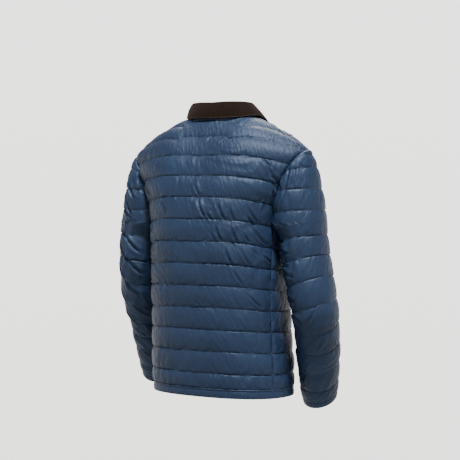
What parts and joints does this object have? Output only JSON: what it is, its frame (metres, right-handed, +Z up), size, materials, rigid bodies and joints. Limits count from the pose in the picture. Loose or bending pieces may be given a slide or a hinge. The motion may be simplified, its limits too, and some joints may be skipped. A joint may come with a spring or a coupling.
{
  "type": "quilted jacket",
  "caption": "Worn, hollow quilted jacket with horizontal channels, set-in sleeves, a turned-down cord collar and a studded front placket.",
  "frame": {"origin": "centre of the neck opening, level with the points where the shoulder seams meet the neckline, where the wearer's neck and shoulders hold the jacket", "axes": "+Z up along the body, -Y out of the front, +X towards the wearer's left"},
  "size_m": [0.6214, 0.3374, 0.7492],
  "materials": {
    "nylon": "smooth satin nylon, quilted",
    "cord": "fine corduroy pile",
    "stud": "satin"
  },
  "bodies": {
    "root": {"back": "nylon", "front_right": "nylon", "front_left": "nylon", "sleeve_right_upper": "nylon", "sleeve_right_lower": "nylon", "sleeve_left": "nylon", "front_placket": "nylon", "collar_stand": "cord", "collar_leaf": "cord", "stud_1": "stud", "stud_2": "stud", "stud_3": "stud", "stud_4": "stud", "stud_5": "stud", "stud_6": "stud", "stud_7": "stud"}
  },
  "joints": []
}
